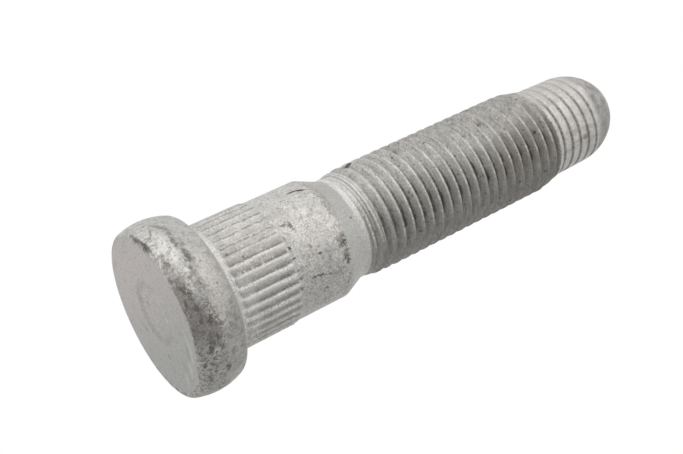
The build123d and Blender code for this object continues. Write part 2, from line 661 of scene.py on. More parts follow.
        grow = radius / blank.math("MAXIMUM", 0.001)
        pressed = sheet.combine(z=self.mark_dip(flat, height))
        moved = sheet.vector("MULTIPLY_ADD", place, sheet.combine(grow, grow, 1.0), pressed)
        rough = sheet.noise(place, *self.COATING_NOISE)
        amount = rough * ask["Unevenness"] * height.span(0.15, 1.2) * rise
        sink = sheet.scaled(sheet.out("GeometryNodeInputNormal"), amount)
        settled = sheet.scaled(sheet.vector("SUBTRACT", moved, sink), MM)

        inputs = {"Geometry": ask["Geometry"], "Name": "rise", "Value": rise}
        stud = sheet.out("GeometryNodeStoreNamedAttribute", inputs)
        stud = sheet.out("GeometryNodeSetPosition", {"Geometry": stud, "Position": settled})
        stud = sheet.out("GeometryNodeSetShadeSmooth", {"Geometry": stud, "Shade Smooth": True})
        stud = sheet.out("GeometryNodeRealizeInstances", {"Geometry": stud})
        for stretch, start in self.STARTS.items():
            chosen = height.math("GREATER_THAN", start)
            inputs = {"Geometry": stud, "Selection": chosen, "Material": ask[stretch.value]}
            stud = sheet.out("GeometryNodeSetMaterial", inputs)
        sheet.close({"Geometry": stud})

    def apply(self, piece: bpy.types.Object, sizes: dict[str, float], finishes: dict) -> None:
        """Run the tree on a blank and keep the result as the piece's plain mesh.

        Args:
            piece: The blank's object.
            sizes: Values of the named sizes.
            finishes: Material of each stretch.
        """
        roll = piece.modifiers.new(self.NAME, "NODES")
        roll.node_group = self.tree
        for name, value in sizes.items():
            roll[self.keys[name]] = value
        for stretch, finish in finishes.items():
            roll[self.keys[stretch.value]] = finish
        ready = piece.evaluated_get(bpy.context.evaluated_depsgraph_get())
        made = bpy.data.meshes.new_from_object(ready)
        piece.modifiers.remove(roll)
        blank = piece.data
        piece.data = made
        bpy.data.meshes.remove(blank)
        made.name = piece.name


class Effects:
    """Shader node groups that the finishes share, each built once."""

    def __init__(self) -> None:
        """Build the groups."""
        self.place = self.make_place()
        self.ground = self.make_ground()
        self.patch = self.make_patch()
        self.blotches = self.make_blotches()
        self.speckle = self.make_speckle()
        self.mottle = self.make_mottle()
        self.lines = self.make_lines()

    @staticmethod
    def start(name: str, inputs: Names, outputs: Names) -> tuple[NodeSheet, dict[str, Field]]:
        """Begin a group.

        Args:
            name: Name of the group.
            inputs: Names of its inputs.
            outputs: Names of its outputs.

        Returns:
            The group's sheet and the fields of its inputs.
        """
        tree = bpy.data.node_groups.new(name, "ShaderNodeTree")
        for way, labels in (("INPUT", inputs), ("OUTPUT", outputs)):
            for label in labels:
                kind = "NodeSocketVector" if label in VECTOR_NAMES else "NodeSocketFloat"
                tree.interface.new_socket(label, in_out=way, socket_type=kind)
        sheet = NodeSheet(tree)
        return sheet, sheet.outs("NodeGroupInput")

    def make_place(self) -> bpy.types.NodeTree:
        """Where a point lies on the stud: in millimetres, as turn, height and radius, and unrolled flat."""
        outputs = ("Millimetres", "Unrolled", "Turn", "Low Side", "Height", "Radius")
        sheet, ask = self.start("stud_place", ("Place",), outputs)
        place = sheet.scaled(ask["Place"], 1 / MM)
        parts = sheet.outs("ShaderNodeSeparateXYZ", {0: sheet.spin(place, -NEAR_TURN)})
        turn = parts["Y"].math("ARCTAN2", parts["X"])
        radius = sheet.length(sheet.combine(parts["X"], parts["Y"]))
        flat = sheet.combine(turn * radius, parts["Z"])
        fields = (place, flat, turn, turn.math("SINE"), parts["Z"], radius)
        return sheet.close(dict(zip(outputs, fields)))

    def make_ground(self) -> bpy.types.NodeTree:
        """What breaks up every mark: a pull that bends its outline, a coarse jitter and a fine grain."""
        sheet, ask = self.start("ragged_ground", ("Place",), ("Pull", "Jitter", "Grain"))
        place = ask["Place"]
        warp = {"Vector": place, "Scale": 1.7, "Detail": 3.0, "Roughness": 0.6}
        pull = sheet.out("ShaderNodeTexNoise", warp, "Color")
        pull = sheet.vector("SUBTRACT", pull, (0.5, 0.5, 0.5))
        pull = sheet.vector("MULTIPLY", pull, (1.1, 1.1, 0.0))
        jitter = sheet.noise(place, 2.8, 3.0, 0.65) - 0.5
        grain = sheet.noise(place, 4.6, 2.0, 0.75) - 0.5
        return sheet.close({"Pull": pull, "Jitter": jitter, "Grain": grain})

    def make_patch(self) -> bpy.types.NodeTree:
        """Mask of one round or long patch with a ragged edge."""
        inputs = ("Place", "Pull", "Centre", "Reach", "Lean", "Jitter", "Ragged", "Edge")
        sheet, ask = self.start("ragged_patch", inputs, ("Mask",))
        bend = (ask["Ragged"] * 2.2).clamped()
        bent = sheet.vector("MULTIPLY_ADD", ask["Pull"], bend, ask["Place"])
        level = sheet.spin(sheet.vector("SUBTRACT", bent, ask["Centre"]), ask["Lean"] * -1.0)
        far = sheet.length(sheet.vector("DIVIDE", level, ask["Reach"]))
        worn = far + ask["Jitter"] * (ask["Ragged"] * 4.0)
        return sheet.close({"Mask": worn.fade(1.0 - ask["Edge"], ask["Edge"] + 1.0)})

    def make_blotches(self) -> bpy.types.NodeTree:
        """Mask of crooked blotches all over; a lower level gives more of them."""
        sheet, ask = self.start("crooked_blotches", ("Place", "Size", "Level", "Soft"), ("Mask",))
        cloud = {"Vector": ask["Place"], "Scale": 1.0 / ask["Size"]}
        cloud |= {"Detail": 2.0, "Roughness": 0.6, "Distortion": 0.7}
        tone = sheet.out("ShaderNodeTexNoise", cloud)
        return sheet.close({"Mask": tone.span(ask["Level"], ask["Level"] + ask["Soft"])})

    def make_speckle(self) -> bpy.types.NodeTree:
        """Mask of small pits or specks scattered over the surface."""
        sheet, ask = self.start("speckle", ("Place", "Spacing", "Size", "Share"), ("Mask",))
        wobble = {"Vector": ask["Place"], "Scale": 3.0, "Detail": 2.0}
        wobble = sheet.out("ShaderNodeTexNoise", wobble, "Color")
        bent = sheet.vector("MULTIPLY_ADD", wobble, (0.25, 0.25, 0.25), ask["Place"])
        cells = sheet.outs("ShaderNodeTexVoronoi", {"Vector": bent, "Scale": 1.0 / ask["Spacing"]})
        pick = sheet.outs("ShaderNodeSeparateColor", {0: cells["Color"]})
        size = ask["Size"] * pick["Green"].ramp(0.0, 1.0, 0.4, 1.2)
        spot = cells["Distance"].fade(size * 0.5, size)
        return sheet.close({"Mask": spot * pick["Red"].math("LESS_THAN", ask["Share"])})

    def make_mottle(self) -> bpy.types.NodeTree:
        """Cloudy tone of the coating, from 0 to 1."""
        sheet, ask = self.start("coating_mottle", ("Place", "Size", "Contrast"), ("Tone",))
        cloud = sheet.noise(ask["Place"], 1.0 / ask["Size"], 6.0, 0.64)
        return sheet.close({"Tone": ((cloud - 0.5) * ask["Contrast"] + 0.5).clamped()})

    def make_lines(self) -> bpy.types.NodeTree:
        """Fine lines that run round the axis, as a turning tool or a roll leaves them."""
        sheet, ask = self.start("turned_lines", ("Across", "Turn", "Spacing"), ("Lines",))
        # The turn is wrapped on a circle of this radius, so that the lines close round the axis
        wrap = 2.2
        circle = [ask["Turn"].math(way) * wrap for way in ("COSINE", "SINE")]
        place = sheet.combine(ask["Across"] / ask["Spacing"], *circle)
        return sheet.close({"Lines": sheet.noise(place, 1.0, 2.0, 0.6)})


@dataclass(frozen=True)
class Patch:
    """One stain, scuff, scratch or pit at a known place on the stud.

    The turn is in degrees from the side that faces the camera. Wide and long are half the patch's size
    round the stud and along it, before the patch is leant over by an angle in degrees.
    """

    turn: float
    height: float
    wide: float
    long: float
    tint: Colour
    strength: float = 0.8
    lean: float = 0.0
    ragged: float = 0.45
    edge: float = 0.4
    depth: float = 0.4

    def centre(self, radius: float) -> tuple[float, float, float]:
        """Centre of the patch on the unrolled surface."""
        return (math.radians(self.turn) * radius, self.height, 0.0)


def patches_of(*rows: tuple) -> list[Patch]:
    """Make a patch of each row of values."""
    return [Patch(*row) for row in rows]


@dataclass(frozen=True)
class FaceMark:
    """One pit, speck or stroke on the head's flat face, by turn in degrees and distance from its middle."""

    turn: float
    radius: float
    reach: float
    tint: Colour
    strength: float = 0.7
    depth: float = 0.3
    stretch: float = 1.0
    lean: float = 0.0

    def centre(self) -> tuple[float, float, float]:
        """Centre of the mark in millimetres."""
        angle = NEAR_TURN + math.radians(self.turn)
        return (self.radius * math.cos(angle), self.radius * math.sin(angle), 0.0)


@dataclass
class Coat:
    """A finish in the making: its sheet, where points lie, and the colour and height so far."""

    effects: Effects
    name: str
    roughness: float = 0.55
    # How far the roughness goes up and down with the coating's height
    roughness_swing: float = 0.12
    metallic: float = 0.25
    # How much of the fine grain goes into the bump
    grain_bump: float = 0.6

    def __post_init__(self) -> None:
        """Start the material and find where its points lie."""
        self.made = bpy.data.materials.new(self.name)
        self.made.use_nodes = True
        self.sheet = NodeSheet(self.made.node_tree)
        source = self.sheet.out("ShaderNodeTexCoord", output="Object")
        place = self.group(self.effects.place, place=source)
        self.middle, self.unrolled = place["Millimetres"], place["Unrolled"]
        self.turn, self.low_side = place["Turn"], place["Low Side"]
        self.height, self.radius = place["Height"], place["Radius"]
        ground = self.group(self.effects.ground, place=self.middle)
        self.pull, self.jitter, self.grain = ground["Pull"], ground["Jitter"], ground["Grain"]
        self.rise = self.sheet.out("ShaderNodeAttribute", output="Fac", attribute_name="rise")
        self.tone: object = (0.5, 0.5, 0.5, 1.0)
        self.level: object = 0.5

    def group(self, tree: bpy.types.NodeTree, **inputs: object) -> dict[str, Field]:
        """Place a shared group and return its outputs."""
        values = {label.title(): value for label, value in inputs.items()}
        return self.sheet.outs("ShaderNodeGroup", values, node_tree=tree)

    def mottle(self, size: float, contrast: float) -> Field:
        """Cloudy tone of the coating."""
        return self.group(self.effects.mottle, place=self.middle, size=size, contrast=contrast)["Tone"]

    def blotches(self, size: float, level: float, soft: float = 0.08) -> Field:
        """Mask of crooked blotches."""
        return self.group(self.effects.blotches, place=self.middle, size=size, level=level, soft=soft)["Mask"]

    def speckle(self, spacing: float, size: float, share: float) -> Field:
        """Mask of scattered pits."""
        tree = self.effects.speckle
        return self.group(tree, place=self.middle, spacing=spacing, size=size, share=share)["Mask"]

    def lines(self, across: Field, spacing: float) -> Field:
        """Fine lines round the axis, spaced along a height or a radius."""
        return self.group(self.effects.lines, across=across, turn=self.turn, spacing=spacing)["Lines"]

    def stretch(self, low: float, high: float, soft: float = 0.3) -> Field:
        """Mask of the stretch between two heights."""
        return self.height.span(low - soft, low + soft) * self.height.fade(high - soft, high + soft)

    def tint(self, mask: Field, shade: object, depth: float = 0.0) -> None:
        """Colour the surface where a mask says so, and sink it by a share of the bump's depth."""
        self.tone = self.sheet.blend(mask, self.tone, shade)
        if depth:
            self.level = self.level - mask * depth

    def add_patches(self, patches: list[Patch], radius: float, within: object = 1.0) -> None:
        """Lay patches over the colour so far, on the surface of a given radius and inside a mask."""
        for patch in patches:
            mask = self.group(
                self.effects.patch,
                place=self.unrolled,
                pull=self.pull,
                centre=patch.centre(radius),
                reach=(patch.wide, patch.long, 1.0),
                lean=math.radians(patch.lean),
                jitter=self.jitter,
                ragged=patch.ragged,
                edge=patch.edge,
            )["Mask"]
            self.tint(mask * patch.strength * within, patch.tint, patch.depth)

    def neck_ring(self, pale: Colour) -> None:
        """Painted highlight: a pale ring where the chamfer runs into the neck, on the upper and near sides.
        """
        lit = self.low_side.span(-0.5, 0.4, 0.9, 0.12)
        self.tint(self.stretch(25.25, 25.95, 0.16) * lit, pale)

    def finish(self, bump_depth: float, grain: object) -> bpy.types.Material:
        """Join the colour, the roughness and the bump to the shader.

        Args:
            bump_depth: Full depth of the bump in millimetres.
            grain: How strongly the fine grain lightens and darkens the colour.

        Returns:
            The finished material.
        """
        sheet = self.sheet
        shader = self.made.node_tree.nodes["Principled BSDF"].inputs
        sheet.feed(shader["Base Color"], sheet.scaled(self.tone, self.grain * grain + 1.0))
        rough, swing = self.roughness, self.roughness_swing
        sheet.feed(shader["Roughness"], self.level.ramp(0.0, 1.0, rough + swing, rough - swing))
        sheet.feed(shader["Metallic"], self.metallic)
        relief = self.grain * self.grain_bump + self.level
        bump = {"Strength": 1.0, "Distance": bump_depth * MM, "Height": relief}
        sheet.feed(shader["Normal"], sheet.out("ShaderNodeBump", bump))
        return self.made


@dataclass(frozen=True)
class HeadFinish:
    """Coating of the head: a smooth face, and a rim that is scuffed and stained."""

    # Face tones: the warm one for the lit top, the cool darker one as painted shade on the lower side
    face_lit_warm: Colour = colour(195, 189, 186)
    face_shaded_cool: Colour = colour(168, 169, 165)
    face_dark: Colour = colour(140, 137, 134)
    rim_pale: Colour = colour(194, 193, 189)
    rim_grey: Colour = colour(164, 163, 160)
    stain: Colour = colour(132, 128, 124)
    dark: Colour = colour(112, 107, 103)
    dirt: Colour = colour(86, 82, 79)
    white: Colour = colour(218, 216, 211)
    pink: Colour = colour(208, 201, 196)
    radius: float = 10.5

    def zones(self) -> list[Patch]:
        """Wide stains and scuffs on the rim, as the photo shows them."""
        return patches_of(
            (-38.0, 1.6, 3.0, 1.2, self.white, 0.7, 0.0, 0.3, 0.5, 0.0),
            (-58.0, 1.6, 2.6, 1.4, self.rim_pale, 0.5, 0.0, 0.3, 0.5, 0.0),
            (-2.0, 4.2, 4.0, 1.1, self.pink, 0.6, 0.0, 0.3, 0.5, 0.0),
            (-18.0, 0.9, 2.2, 0.9, self.stain, 0.5, 0.0, 0.6, 0.5, 0.2),
            (-31.0, 3.15, 3.2, 0.5, self.stain, 0.45, 0.0, 0.5, 0.6, 0.2),
            (26.0, 5.2, 2.2, 0.9, self.stain, 0.3, 0.0, 0.5, 0.6, 0.0),
            (-5.0, 2.8, 1.7, 0.7, self.stain, 0.45, 0.0, 0.8, 0.6, 0.2),
        )

    def patches(self) -> list[Patch]:
        """Small marks on the rim, as the photo shows them."""
        stain, dark, dirt = self.stain, self.dark, self.dirt
        return patches_of(
            (-55.2, 2.95, 1.35, 0.26, stain, 0.8, 23.0, 0.25, 0.6, 0.2),
            (-53.5, 1.75, 0.8, 0.15, stain, 0.7, -23.0, 0.3), (-49.5, 1.1, 0.16, 0.4, stain, 0.7),
            (-45.5, 3.19, 0.34, 0.16, stain, 0.8), (-39.0, 2.98, 0.5, 0.26, dark, 0.85, 0.0, 0.9, 0.6),
            (-34.0, 2.9, 0.26, 0.2, dark, 0.7), (-34.0, 3.56, 0.4, 0.25, stain, 0.6),
            (-27.0, 3.27, 0.6, 0.28, dark, 0.85, 19.0, 0.9, 0.6),
            (-23.0, 3.1, 0.6, 0.28, dark, 0.85, -38.0, 0.9, 0.6),
            (-31.5, 1.05, 0.2, 0.3, stain, 0.8), (-29.5, 0.7, 0.35, 0.18, stain, 0.7),
            (-25.5, 0.9, 0.36, 0.25, dark, 0.75), (-24.0, 0.5, 0.4, 0.2, stain, 0.8),
            (-22.0, 3.82, 0.22, 0.15, stain, 0.8), (-17.0, 2.82, 0.35, 0.2, dark, 0.7),
            (-13.0, 2.93, 0.45, 0.3, stain, 0.6), (-12.0, 2.25, 0.3, 0.25, stain, 0.7),
            (-12.5, 0.9, 0.36, 0.3, dark, 0.7), (-15.0, 0.4, 0.4, 0.25, dark, 0.7),
            (-6.5, 0.95, 0.55, 0.34, dirt, 0.8, 20.0, 1.0, 0.6),
            (-3.6, 1.3, 0.6, 0.36, dirt, 0.85, 20.0, 1.0, 0.6),
            (-7.5, 2.93, 0.3, 0.35, stain, 0.7), (-3.5, 2.98, 0.3, 0.3, stain, 0.7),
            (5.0, 1.4, 0.45, 0.22, dirt, 0.7), (6.5, 2.45, 0.12, 0.55, dark, 0.75),
            (15.0, 2.35, 0.45, 0.34, dirt, 0.8, 0.0, 1.0, 0.6), (15.0, 3.03, 0.26, 0.18, dark, 0.8),
            (13.5, 1.36, 0.3, 0.2, dirt, 0.7), (20.0, 3.3, 0.3, 0.2, dark, 0.75),
            (26.5, 2.4, 0.5, 0.18, dirt, 0.7), (33.0, 1.4, 0.55, 0.2, dirt, 0.75),
            (33.5, 2.85, 0.16, 0.42, dirt, 0.7), (42.0, 0.5, 0.3, 0.25, dirt, 0.8),
            (58.0, 1.11, 0.5, 0.3, dirt, 0.7), (53.0, 3.14, 0.7, 0.2, dirt, 0.7),
            (-61.0, 0.28, 0.6, 0.14, dark, 0.8, 0.0, 0.25, 0.6),
            (-54.5, 0.24, 0.8, 0.17, dirt, 0.9, 0.0, 0.25, 0.6),
            (-49.5, 0.28, 0.7, 0.2, dark, 0.9, 0.0, 0.35, 0.6),
            (-43.5, 0.3, 1.0, 0.24, dirt, 0.95, 0.0, 0.3, 0.6),
            (-35.0, 0.32, 0.9, 0.14, stain, 0.7, 0.0, 0.4, 0.6),
            (1.0, 0.55, 0.55, 0.16, dirt, 0.9, 0.0, 0.3), (18.0, 0.45, 1.1, 0.3, dark, 0.35, 0.0, 0.5, 0.6),
            (27.0, 1.75, 0.7, 0.3, dirt, 0.6, 20.0, 0.8, 0.6),
        )

    def face_marks(self) -> tuple[FaceMark, ...]:
        """Small pits and soft strokes on the face, as the photo shows them."""
        return (
            FaceMark(168.5, 4.6, 0.3, self.face_dark),
            FaceMark(-95.5, 1.8, 0.25, self.face_dark),
            FaceMark(105.0, 4.9, 0.35, self.face_dark),
            FaceMark(17.0, 3.3, 0.16, self.white, 0.9, 0.0),
            FaceMark(36.0, 8.0, 0.5, self.rim_pale, 0.65, 0.0, 3.6, 24.0),
            FaceMark(43.0, 7.5, 0.4, self.face_dark, 0.45, 0.5, 4.0, 40.0),
            FaceMark(61.3, 7.94, 0.45, self.rim_pale, 0.6, 0.0, 2.6, 36.0),
            FaceMark(73.7, 7.35, 0.4, self.face_dark, 0.45, 0.5, 3.5, 26.0),
            FaceMark(80.0, 7.9, 0.4, self.rim_pale, 0.55, 0.0, 3.0, 40.0),
            FaceMark(176.0, 4.94, 0.25, self.face_dark, 0.5, 0.2, 2.6, 144.4),
        )

    def paint_face(self, coat: Coat) -> Field:
        """Colour the flat face and return the mask of the rim round it."""
        cloud = coat.mottle(2.2, 1.5)
        # Painted shade: besides its random mottle, the face turns from the warm tone at the top to the cool,
        # darker one on the lower side
        fade = (cloud - 0.5) * 6.0 + coat.low_side * coat.radius
        coat.tone = coat.sheet.blend(fade.span(-8.0, 8.0), self.face_lit_warm, self.face_shaded_cool)
        coat.level = cloud * 0.3 + 0.4
        bulge = coat.turn.math("ABSOLUTE").span(0.3, 0.9, 0.32, 0.0)
        spread = coat.low_side.span(0.3, 0.7, 0.0, 0.25)
        border = coat.jitter * 0.5 + coat.radius - bulge + spread
        coat.tint(coat.blotches(0.9, 0.55, 0.14) * 0.3, self.face_dark, 0.2)
        coat.tint(coat.blotches(0.4, 0.59, 0.1) * 0.35, self.face_dark, 0.2)
        streaks = coat.lines(coat.radius, 0.55)
        beside = coat.turn.span(0.3, 0.6) * coat.turn.fade(1.0, 1.5)
        low_edge = coat.radius.span(6.8, 8.8) * beside * coat.jitter.span(-0.1, 0.08)
        coat.tint(streaks.span(0.5, 0.6) * low_edge * 0.5, self.rim_pale)
        coat.tint(streaks.fade(0.38, 0.48) * low_edge * 0.6, self.face_dark, 0.3)
        self.paint_marks(coat, cloud)
        return border.span(9.5, 9.75)

    def paint_marks(self, coat: Coat, cloud: Field) -> None:
        """Colour the plain round mark, and lay the small marks over the face."""
        sheet = coat.sheet
        head = Head()
        middle = FaceMark(head.mark_turn, head.mark_offset, 1.0, self.white).centre()
        apart = sheet.apart(coat.middle, middle)
        within = apart.fade(head.mark_radius - 1.2, head.mark_radius)
        coat.tint(coat.blotches(0.4, 0.6, 0.06) * within * 0.45, self.white)
        coat.tint(coat.blotches(0.55, 0.6, 0.08) * within * 0.3, self.face_dark, 0.3)
        # Painted shade: a darker ring over the soft wall of the pressed mark
        ring = (apart - (head.mark_radius - 0.1)).math("ABSOLUTE")
        coat.tint(ring.fade(0.1, 0.8) * cloud.span(0.2, 0.9) * 0.55, self.face_dark)
        for mark in self.face_marks():
            set_out = {
                "Vector": coat.middle,
                "Location": mark.centre(),
                "Rotation": (0.0, 0.0, NEAR_TURN + math.radians(mark.lean)),
                "Scale": (mark.reach, mark.reach * mark.stretch, 1.0),
            }
            local = sheet.out("ShaderNodeMapping", set_out, vector_type="TEXTURE")
            apart = coat.jitter * 2.6 + sheet.length(local)
            coat.tint(apart.span(0.4, 1.4, mark.strength, 0.0), mark.tint, mark.depth)

    def grime(self, coat: Coat) -> Field:
        """Mask of the dark soiled part of the rim, which widens from the near side to the lower side."""
        reach = coat.turn.ramp(math.radians(-14.0), math.radians(22.0), 0.5, 3.2)
        inside = (coat.jitter * 2.4 + coat.height - reach).fade(-0.5, 0.5)
        opens = coat.turn.span(math.radians(-20.0), math.radians(-8.0))
        return inside * opens * coat.turn.span(math.radians(16.0), math.radians(42.0), 0.8, 0.1)

    def material(self, effects: Effects) -> bpy.types.Material:
        """Build the head's material."""
        coat = Coat(effects, "head_coating")
        on_rim = self.paint_face(coat)
        rough = coat.mottle(1.0, 2.6)
        coat.tint(on_rim, coat.sheet.blend(rough, self.rim_grey, self.rim_pale))
        coat.level = on_rim * (rough - coat.level) + coat.level
        coat.add_patches(self.zones(), self.radius, on_rim)
        front = on_rim * coat.height.span(2.6, 3.6, 1.0, 0.3)
        coat.tint(coat.blotches(0.6, 0.55) * front * 0.55, self.stain, 0.4)
        coat.tint(coat.blotches(0.45, 0.55) * front * 0.45, self.white)
        soiled = on_rim * self.grime(coat)
        coat.tint(soiled, self.dark, 0.3)
        lower = on_rim * coat.low_side.span(-0.1, 0.2)
        coat.tint(coat.blotches(0.7, 0.52, 0.08) * lower * 0.4, self.stain, 0.3)
        coat.tint(coat.blotches(0.5, 0.54, 0.06) * soiled * 0.75, self.stain)
        coat.tint(coat.blotches(0.36, 0.55, 0.06) * front * lower * 0.7, self.dirt, 0.6)
        coat.tint(coat.blotches(0.3, 0.6, 0.06) * soiled * 0.45, self.rim_grey)
        coat.tint(coat.speckle(0.9, 0.22, 0.35) * on_rim * 0.5, self.dirt, 0.3)
        coat.add_patches(self.patches(), self.radius, on_rim)
        return coat.finish(0.06, on_rim.ramp(0.0, 1.0, 1.15, 1.3))


@dataclass(frozen=True)
class ShankFinish:
    """Coating of the shank: ridges with painted highlights and painted shade between, a scuffed shoulder and
    a smooth turned chamfer.
    """

    pale: Colour = colour(210, 208, 204)
    grey: Colour = colour(182, 180, 176)
    # Colours of the painted shade in the grooves and along their lower side
    groove: Colour = colour(146, 142, 137)
    groove_shade_line: Colour = colour(104, 100, 96)
    fold: Colour = colour(128, 124, 119)
    # Pale colour of the painted highlights on the ridges and the collar, also used for pale patches on the
    # shoulder and the serrations
    crest: Colour = colour(228, 227, 223)
    scuff: Colour = colour(216, 211, 207)
    smooth: Colour = colour(197, 196, 192)
    smooth_shaded_top: Colour = colour(179, 178, 174)
    # Pale colour of the painted highlight round the neck
    neck: Colour = colour(214, 213, 210)
    stain: Colour = colour(146, 141, 136)
    brown: Colour = colour(122, 112, 104)
    dirt: Colour = colour(84, 80, 77)
    crack: Colour = colour(60, 57, 55)
    radius: float = 7.7

    def patches(self) -> list[Patch]:
        """Marks on the shoulder and the chamfer, as the photo shows them."""
        stain, dirt = self.stain, self.dirt
        return patches_of(
            (-14.0, 17.8, 2.2, 1.7, self.scuff, 0.45, 0.0, 0.4, 0.6, 0.0),
            (-28.0, 16.3, 1.6, 1.2, stain, 0.22, 0.0, 0.6, 0.7, 0.1),
            (-20.5, 19.6, 0.32, 2.0, stain, 0.3, 46.0, 0.35, 0.8, 0.2),
            (-3.0, 21.3, 1.3, 1.0, self.scuff, 0.7, 0.0, 0.4, 0.5, 0.0),
            (36.0, 18.8, 3.0, 3.0, stain, 0.15, 0.0, 0.5, 0.6, 0.1),
            (-21.0, 16.73, 0.55, 0.3, self.brown, 0.9, 0.0, 0.7), (-23.5, 16.15, 0.16, 0.32, self.brown, 0.9),
            (-13.0, 15.25, 0.3, 0.25, stain, 0.8), (-3.0, 15.31, 0.18, 0.13, dirt, 0.95, 0.0, 0.3, 0.5, 0.8),
            (6.4, 15.25, 0.15, 0.24, dirt, 0.9, 0.0, 0.4, 0.5, 0.8),
            (16.5, 15.25, 0.2, 0.14, dirt, 0.8, 0.0, 0.4, 0.5, 0.8),
            (25.4, 15.2, 0.16, 0.22, dirt, 0.75, 0.0, 0.4, 0.5, 0.8),
            (34.6, 15.1, 0.26, 0.2, dirt, 0.65, 0.0, 0.5, 0.5, 0.8),
            (-54.6, 20.05, 0.15, 0.62, self.crack, 1.0, -5.0, 0.14, 0.6, 0.8),
            (-52.1, 21.02, 0.15, 0.68, self.crack, 1.0, -31.0, 0.14, 0.6, 0.8),
            (29.5, 17.04, 0.13, 0.42, dirt, 0.75, 10.0, 0.25, 0.5, 0.6),
            (30.5, 18.04, 0.13, 0.68, dirt, 0.7, -18.0, 0.25, 0.5, 0.6),
            (34.0, 19.3, 0.13, 0.7, stain, 0.8, -22.0, 0.25, 0.5, 0.6),
            (12.2, 18.53, 0.13, 0.2, dirt, 0.9, 0.0, 0.3, 0.5, 0.8),
            (2.5, 17.75, 0.4, 0.2, stain, 0.7), (33.5, 20.4, 0.4, 0.25, stain, 0.6),
            (10.0, 21.7, 0.85, 0.5, stain, 0.8, 0.0, 1.3, 0.4, 0.7),
            (11.5, 21.95, 0.4, 0.26, dirt, 0.8, 0.0, 1.1, 0.4, 0.7),
            (24.0, 21.75, 0.75, 0.45, stain, 0.8, 0.0, 1.3, 0.4, 0.7),
            (27.5, 21.8, 0.5, 0.3, dirt, 0.75, 0.0, 1.1, 0.4, 0.7),
            (-34.0, 22.6, 2.4, 0.3, stain, 0.45, 0.0, 0.3, 0.6, 0.2),
            (-4.0, 24.53, 0.13, 0.18, dirt, 0.8, 0.0, 0.2),
        )

    def paint_grooves(self, coat: Coat) -> None:
        """Darken the grooves between the ridges with painted shade, lay painted highlights on the ridges, and
        draw the thin folds of the smeared upper ones.
        """
        shank = Shank()
        count = float(shank.ridge_count)
        low_side = coat.low_side
        deep = 1.0 - coat.rise
        band = coat.stretch(shank.ridge_start + 0.4, shank.ridge_end - 0.4)
        # Phase round the ring of ridges: 0 in the middle of a groove, growing towards the lower side
        phase = (coat.jitter * 0.04 + coat.turn + (NEAR_TURN - math.pi / count)) * count
        # Painted shade: a light darkening over the middle of the ridge band, and the grooves darker still,
        # less so on the lower side
        coat.tint(band * (low_side.span(-0.5, -0.3) * low_side.span(0.15, 0.4, 0.16, 0.0)), self.groove)
        coat.tint(deep.span(0.2, 0.75) * low_side.span(0.1, 0.6, 0.45, 0.15), self.groove)
        faced = band * (low_side.span(-0.6, -0.1) * low_side.span(0.4, 0.8, 0.55, 0.22))
        # More painted shade: a dark line along the lower side of each groove, and a thin line of the dirt
        # colour at its foot
        coat.tint((phase - 1.0).math("COSINE").span(0.4, 0.93) * faced, self.groove_shade_line)
        coat.tint((phase - 1.25).math("COSINE").span(0.8, 0.98) * faced * 0.75, self.dirt, 0.3)
        # Painted highlight on the ridge tops and on the flank beside each ridge, fading out towards the upper
        # rows
        crest_highlight = band * (low_side.span(-0.55, 0.1) * low_side.span(0.6, 0.95, 1.0, 0.5))
        coat.tint(deep.fade(0.1, 0.5) * crest_highlight * 0.5, self.crest)
        wider = low_side.span(0.0, 0.4, 0.8, 1.0)
        coat.tint((phase + 2.0).math("COSINE").span(-0.1, 0.8) * crest_highlight * wider, self.crest)
        wave = coat.sheet.noise(coat.middle, 0.7, 2.0, 0.6) * 2.4 + 1.7
        fold = (phase + wave).math("COSINE").span(0.72, 0.98) * low_side.fade(-0.45, -0.2)
        coat.tint(fold * band * coat.jitter.span(-0.16, 0.1, 0.35, 1.0) * 0.85, self.fold, 0.5)

    def paint_shoulder(self, coat: Coat) -> None:
        """Scuff, stain and pit the shoulder."""
        low_side = coat.low_side
        shoulder = coat.stretch(15.3, 22.3)
        coat.tint(coat.blotches(0.7, 0.54, 0.12) * low_side.span(0.0, 0.4, 0.6, 0.15), self.scuff)
        coat.tint(coat.blotches(0.32, 0.57, 0.1) * shoulder * 0.65, self.stain, 0.6)
        clouds = shoulder * low_side.span(-0.4, -0.1) * low_side.fade(0.3, 0.5)
        coat.tint(coat.blotches(1.0, 0.5, 0.12) * clouds * 0.3, self.crest)
        coat.tint(coat.blotches(0.85, 0.53, 0.12) * clouds * 0.4, self.stain, 0.2)
        worn = coat.stretch(16.6, 22.4) * low_side.span(0.1, 0.4)
        coat.tint(coat.blotches(0.45, 0.55, 0.1) * worn * 0.45, self.stain, 0.5)
        coat.tint(coat.blotches(0.5, 0.62, 0.08) * 0.35, self.stain, 0.4)
        coat.tint(coat.speckle(0.7, 0.26, 0.22) * shoulder * 0.6, self.dirt, 0.6)
        coat.tint(coat.speckle(1.2, 0.2, 0.3) * 0.6, self.dirt, 0.4)

    def paint_chamfer(self, coat: Coat) -> Field:
        """Colour the turned chamfer beyond its jagged border, and return its mask."""
        sheet = coat.sheet
        low_side = coat.low_side
        border = coat.height + (sheet.noise(coat.middle, 1.6, 4.0, 0.75) - 0.5) * 3.4
        turned = border.span(22.12, 22.28)
